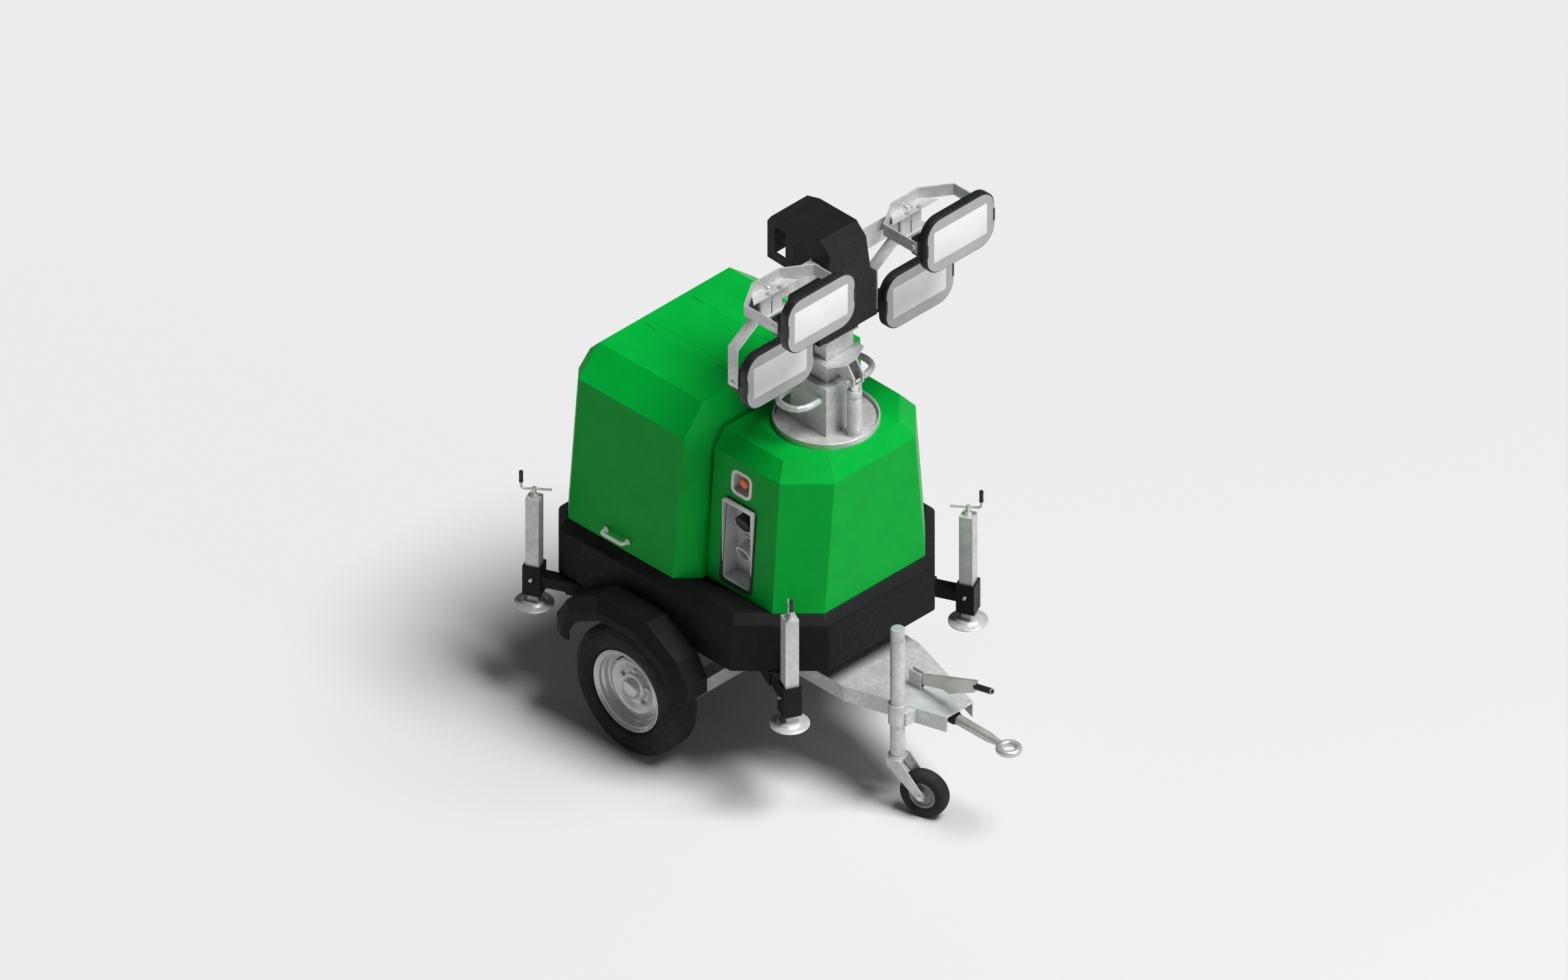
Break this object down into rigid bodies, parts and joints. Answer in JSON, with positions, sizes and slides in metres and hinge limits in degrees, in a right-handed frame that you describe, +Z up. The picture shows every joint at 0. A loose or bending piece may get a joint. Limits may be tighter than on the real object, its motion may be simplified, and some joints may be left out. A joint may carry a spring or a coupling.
{
  "type": "towable diesel generator",
  "caption": "Single-axle towable diesel generator under a moulded canopy, with pull-out jacks and a turning telescopic mast that carries tilting floodlights.",
  "frame": {"origin": "on the ground, under the middle of the overall length, on the centre plane", "axes": "+X to the towing eye, +Z up, +Y to the trailer's left side"},
  "size_m": [2.2587, 1.492, 2.63],
  "materials": {
    "canopy_plastic": "moulded polyethylene, satin green",
    "cowl_plastic": "moulded polyethylene, satin green",
    "tray_plastic": "moulded, fine texture, near black",
    "fender_black": "fine texture, near black",
    "outrigger_black": "satin black",
    "frame_galvanised": "hot-dip galvanised",
    "mast_galvanised": "hot-dip galvanised",
    "jack_galvanised": "zinc plated",
    "zinc_hardware": "zinc plated",
    "ram_steel": "plated tube",
    "ram_chrome": "polished rod",
    "handle_white": "pale grey",
    "socket_white": "moulded, pale grey",
    "stop_orange": "glossy orange-red",
    "hood_black": "moulded, satin black",
    "bracket_steel": "zinc plated folded sheet",
    "lamp_housing": "die cast, black, pale bezel and window",
    "tyre_rubber": "matt black",
    "rim_silver": "silver",
    "jockey_rubber": "solid rubber",
    "engine_iron": "painted casting",
    "radiator_aluminium": "black core",
    "tank_plastic": "moulded, black",
    "control_grey": "grey enclosure"
  },
  "bodies": {
    "chassis": {"canopy_strip": "canopy_plastic", "front_cowl": "cowl_plastic", "base_tray": "tray_plastic", "fender_right": "fender_black", "fender_left": "fender_black", "outrigger_beam_front": "outrigger_black", "outrigger_beam_rear": "outrigger_black", "drawbar_frame": "frame_galvanised", "axle_beam": "frame_galvanised", "jockey_clamp": "frame_galvanised", "mast_ring": "mast_galvanised", "socket_panel": "socket_white", "engine_block": "engine_iron", "alternator": "engine_iron", "radiator": "radiator_aluminium", "fuel_tank": "tank_plastic", "control_panel": "control_grey"},
    "wheel_right": {"tyre_right": "tyre_rubber", "rim_right": "rim_silver"},
    "wheel_left": {"tyre_left": "tyre_rubber", "rim_left": "rim_silver"},
    "door_right": {"door_right": "canopy_plastic", "door_handle_right": "handle_white"},
    "door_left": {"door_left": "canopy_plastic", "door_handle_left": "handle_white"},
    "stop_button": {"emergency_stop": "stop_orange"},
    "towing_rod": {"tow_eye": "zinc_hardware"},
    "handbrake": {"handbrake_lever": "zinc_hardware"},
    "jockey_stem": {"jockey_stem": "jack_galvanised"},
    "jockey_fork": {"jockey_fork": "jack_galvanised"},
    "jockey_wheel": {"jockey_wheel": "jockey_rubber"},
    "mast_turntable": {"mast_base": "mast_galvanised", "ram_cylinder": "ram_steel"},
    "mast_stage": {"mast_stage": "mast_galvanised", "ram_rod": "ram_chrome"},
    "mast_head": {"mast_top": "mast_galvanised", "hood": "hood_black", "lamp_bar": "mast_galvanised", "lamp_bracket_right": "bracket_steel", "lamp_bracket_left": "bracket_steel"},
    "arm_front_right": {"outrigger_arm_front_right": "outrigger_black", "jack_tube_front_right": "jack_galvanised"},
    "leg_front_right": {"jack_leg_front_right": "jack_galvanised"},
    "crank_front_right": {"jack_crank_front_right": "zinc_hardware"},
    "arm_front_left": {"outrigger_arm_front_left": "outrigger_black", "jack_tube_front_left": "jack_galvanised"},
    "leg_front_left": {"jack_leg_front_left": "jack_galvanised"},
    "crank_front_left": {"jack_crank_front_left": "zinc_hardware"},
    "arm_rear_right": {"outrigger_arm_rear_right": "outrigger_black", "jack_tube_rear_right": "jack_galvanised"},
    "leg_rear_right": {"jack_leg_rear_right": "jack_galvanised"},
    "crank_rear_right": {"jack_crank_rear_right": "zinc_hardware"},
    "arm_rear_left": {"outrigger_arm_rear_left": "outrigger_black", "jack_tube_rear_left": "jack_galvanised"},
    "leg_rear_left": {"jack_leg_rear_left": "jack_galvanised"},
    "crank_rear_left": {"jack_crank_rear_left": "zinc_hardware"},
    "lamp_upper_right": {"lamp_upper_right": "lamp_housing"},
    "lamp_upper_left": {"lamp_upper_left": "lamp_housing"},
    "lamp_lower_right": {"lamp_lower_right": "lamp_housing"},
    "lamp_lower_left": {"lamp_lower_left": "lamp_housing"}
  },
  "joints": [
    {"name": "wheel_right_spin", "type": "hinge", "parent": "chassis", "child": "wheel_right", "pos_m": [-0.4715, -0.628, 0.3], "axis": [0, 1, 0], "continuous": true},
    {"name": "wheel_left_spin", "type": "hinge", "parent": "chassis", "child": "wheel_left", "pos_m": [-0.4715, 0.628, 0.3], "axis": [0, 1, 0], "continuous": true},
    {"name": "door_right_lift", "type": "hinge", "parent": "chassis", "child": "door_right", "pos_m": [-0.6185, -0.118, 1.675], "axis": [-1, 0, 0], "range_deg": [0, 80]},
    {"name": "door_left_lift", "type": "hinge", "parent": "chassis", "child": "door_left", "pos_m": [-0.6185, 0.118, 1.675], "axis": [1, 0, 0], "range_deg": [0, 80]},
    {"name": "stop_press", "type": "slide", "parent": "chassis", "child": "stop_button", "axis": [0, 1, 0], "range_m": [0, 0.005]},
    {"name": "overrun", "type": "slide", "parent": "chassis", "child": "towing_rod", "axis": [1, 0, 0], "range_m": [-0.06, 0]},
    {"name": "handbrake_pull", "type": "hinge", "parent": "chassis", "child": "handbrake", "pos_m": [0.5365, 0, 0.53], "axis": [0, -1, 0], "range_deg": [0, 50]},
    {"name": "jockey_wind", "type": "slide", "parent": "chassis", "child": "jockey_stem", "axis": [0, 0, -1], "range_m": [0, 0.15]},
    {"name": "jockey_swivel", "type": "hinge", "parent": "jockey_stem", "child": "jockey_fork", "pos_m": [0.6015, -0.178, 0.266], "axis": [0, 0, 1], "continuous": true},
    {"name": "jockey_roll", "type": "hinge", "parent": "jockey_fork", "child": "jockey_wheel", "pos_m": [0.72133, -0.13906, 0.108], "axis": [-0.309, 0.9511, 0], "continuous": true},
    {"name": "arm_front_right_slide", "type": "slide", "parent": "chassis", "child": "arm_front_right", "axis": [0.9078, -0.4195, 0], "range_m": [0, 0.35]},
    {"name": "leg_front_right_wind", "type": "slide", "parent": "arm_front_right", "child": "leg_front_right", "axis": [0, 0, -1], "range_m": [0, 0.4]},
    {"name": "arm_front_left_slide", "type": "slide", "parent": "chassis", "child": "arm_front_left", "axis": [0.9078, 0.4195, 0], "range_m": [0, 0.35]},
    {"name": "leg_front_left_wind", "type": "slide", "parent": "arm_front_left", "child": "leg_front_left", "axis": [0, 0, -1], "range_m": [0, 0.4]},
    {"name": "arm_rear_right_slide", "type": "slide", "parent": "chassis", "child": "arm_rear_right", "axis": [-0.9078, -0.4195, 0], "range_m": [0, 0.35]},
    {"name": "leg_rear_right_wind", "type": "slide", "parent": "arm_rear_right", "child": "leg_rear_right", "axis": [0, 0, -1], "range_m": [0, 0.4]},
    {"name": "arm_rear_left_slide", "type": "slide", "parent": "chassis", "child": "arm_rear_left", "axis": [-0.9078, 0.4195, 0], "range_m": [0, 0.35]},
    {"name": "leg_rear_left_wind", "type": "slide", "parent": "arm_rear_left", "child": "leg_rear_left", "axis": [0, 0, -1], "range_m": [0, 0.4]},
    {"name": "crank_front_right_turn", "type": "hinge", "parent": "arm_front_right", "child": "crank_front_right", "pos_m": [0.3145, -0.521, 1.018], "axis": [0, 0, 1], "range_deg": [0, 7202]},
    {"name": "crank_front_left_turn", "type": "hinge", "parent": "arm_front_left", "child": "crank_front_left", "pos_m": [0.3145, 0.521, 1.018], "axis": [0, 0, 1], "range_deg": [0, 7202]},
    {"name": "crank_rear_right_turn", "type": "hinge", "parent": "arm_rear_right", "child": "crank_rear_right", "pos_m": [-1.0455, -0.654, 1.018], "axis": [0, 0, 1], "range_deg": [0, 7202]},
    {"name": "crank_rear_left_turn", "type": "hinge", "parent": "arm_rear_left", "child": "crank_rear_left", "pos_m": [-1.0455, 0.654, 1.018], "axis": [0, 0, 1], "range_deg": [0, 7202]},
    {"name": "mast_turn", "type": "hinge", "parent": "chassis", "child": "mast_turntable", "pos_m": [0.0065, 0, 1.58], "axis": [0, 0, 1], "range_deg": [-170, 170]},
    {"name": "mast_raise", "type": "slide", "parent": "mast_turntable", "child": "mast_stage", "axis": [0, 0, 1], "range_m": [0, 0.9]},
    {"name": "mast_extend", "type": "slide", "parent": "mast_stage", "child": "mast_head", "axis": [0, 0, 1], "range_m": [0, 0.9]},
    {"name": "lamp_upper_right_tilt", "type": "hinge", "parent": "mast_head", "child": "lamp_upper_right", "pos_m": [0.3135, -0.407, 2.495], "axis": [0, 1, 0], "range_deg": [-30, 30]},
    {"name": "lamp_upper_left_tilt", "type": "hinge", "parent": "mast_head", "child": "lamp_upper_left", "pos_m": [0.3135, 0.407, 2.495], "axis": [0, 1, 0], "range_deg": [-30, 30]},
    {"name": "lamp_lower_right_tilt", "type": "hinge", "parent": "mast_head", "child": "lamp_lower_right", "pos_m": [0.0745, -0.407, 2.094], "axis": [0, 1, 0], "range_deg": [-30, 30]},
    {"name": "lamp_lower_left_tilt", "type": "hinge", "parent": "mast_head", "child": "lamp_lower_left", "pos_m": [0.0745, 0.407, 2.094], "axis": [0, 1, 0], "range_deg": [-30, 30]}
  ],
  "couplings": [
    {"joint": "mast_extend", "follows": "mast_raise", "ratio": 1},
    {"joint": "crank_front_right_turn", "follows": "leg_front_right_wind", "rad_per_m": 314.16},
    {"joint": "crank_front_left_turn", "follows": "leg_front_left_wind", "rad_per_m": 314.16},
    {"joint": "crank_rear_right_turn", "follows": "leg_rear_right_wind", "rad_per_m": 314.16},
    {"joint": "crank_rear_left_turn", "follows": "leg_rear_left_wind", "rad_per_m": 314.16}
  ]
}
